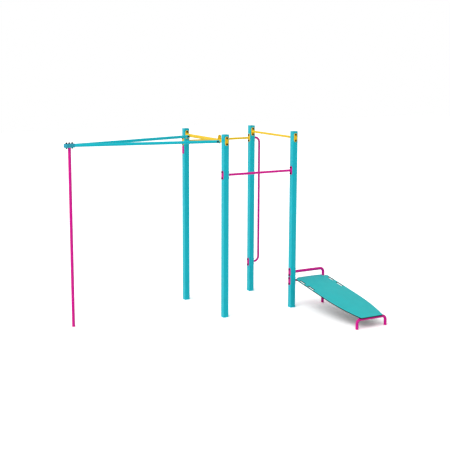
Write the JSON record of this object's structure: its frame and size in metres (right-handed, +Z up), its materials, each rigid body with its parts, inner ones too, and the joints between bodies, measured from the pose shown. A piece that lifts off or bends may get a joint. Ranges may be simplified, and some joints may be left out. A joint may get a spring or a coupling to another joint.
{
  "type": "outdoor fitness station",
  "caption": "Bolted steel outdoor exercise station: square posts joined by round grip bars, a sloping sit-up bench, an upright grip bar, and a climbing pole on a pair of beams.",
  "frame": {"origin": "on the ground, under the middle of the front left post", "axes": "+X along the front of the bay, from the pole towards the bench; +Y from the front of the bay to its back; +Z up"},
  "size_m": [3.8945, 2.7261, 2.6],
  "materials": {
    "teal_paint": "satin teal powder coat on steel",
    "pink_paint": "satin magenta powder coat on steel",
    "yellow_paint": "satin golden yellow powder coat on steel",
    "black_cap": "black moulded bolt and nut covers, satin",
    "teal_board": "fine-grained teal plastic sheet with a darker core at its cut edges"
  },
  "bodies": {
    "root": {"front_left_post": "teal_paint", "front_right_post": "teal_paint", "back_left_post": "teal_paint", "back_right_post": "teal_paint", "front_left_post_cap": "teal_paint", "front_right_post_cap": "teal_paint", "back_left_post_cap": "teal_paint", "back_right_post_cap": "teal_paint", "left_bar": "yellow_paint", "right_bar": "yellow_paint", "back_bar": "yellow_paint", "left_bar_front_plate": "yellow_paint", "left_bar_back_plate": "yellow_paint", "right_bar_front_plate": "yellow_paint", "right_bar_back_plate": "yellow_paint", "back_bar_plate": "yellow_paint", "pull_up_bar": "pink_paint", "grip_bar": "pink_paint", "pull_up_left_plate": "pink_paint", "pull_up_right_plate": "pink_paint", "grip_bar_plate": "pink_paint", "bench_rail_plate": "pink_paint", "bench_head_plate": "pink_paint", "blank_plate": "pink_paint", "climbing_pole": "pink_paint", "bench_rail": "pink_paint", "bench_head_bar": "pink_paint", "bench_foot_frame": "pink_paint", "bench_board": "teal_board", "hub_body": "teal_paint", "hub_plate": "teal_paint", "front_beam": "teal_paint", "back_beam": "teal_paint", "front_beam_bolt": "black_cap", "back_beam_bolt": "black_cap", "pole_head_screw": "black_cap", "hub_bolt_1": "black_cap", "hub_bolt_2": "black_cap", "left_bar_bolt_1": "black_cap", "left_bar_bolt_2": "black_cap", "left_bar_bolt_3": "black_cap", "left_bar_bolt_4": "black_cap", "right_bar_bolt_1": "black_cap", "right_bar_bolt_2": "black_cap", "right_bar_bolt_3": "black_cap", "right_bar_bolt_4": "black_cap", "back_bar_bolt_1": "black_cap", "back_bar_bolt_2": "black_cap", "back_bar_bolt_3": "black_cap", "back_bar_bolt_4": "black_cap", "pull_up_bar_bolt_1": "black_cap", "pull_up_bar_bolt_2": "black_cap", "pull_up_bar_bolt_3": "black_cap", "pull_up_bar_bolt_4": "black_cap", "grip_bar_bolt_1": "black_cap", "grip_bar_bolt_2": "black_cap", "bench_bolt_1": "black_cap", "bench_bolt_2": "black_cap", "bench_bolt_3": "black_cap", "bench_bolt_4": "black_cap"}
  },
  "joints": []
}
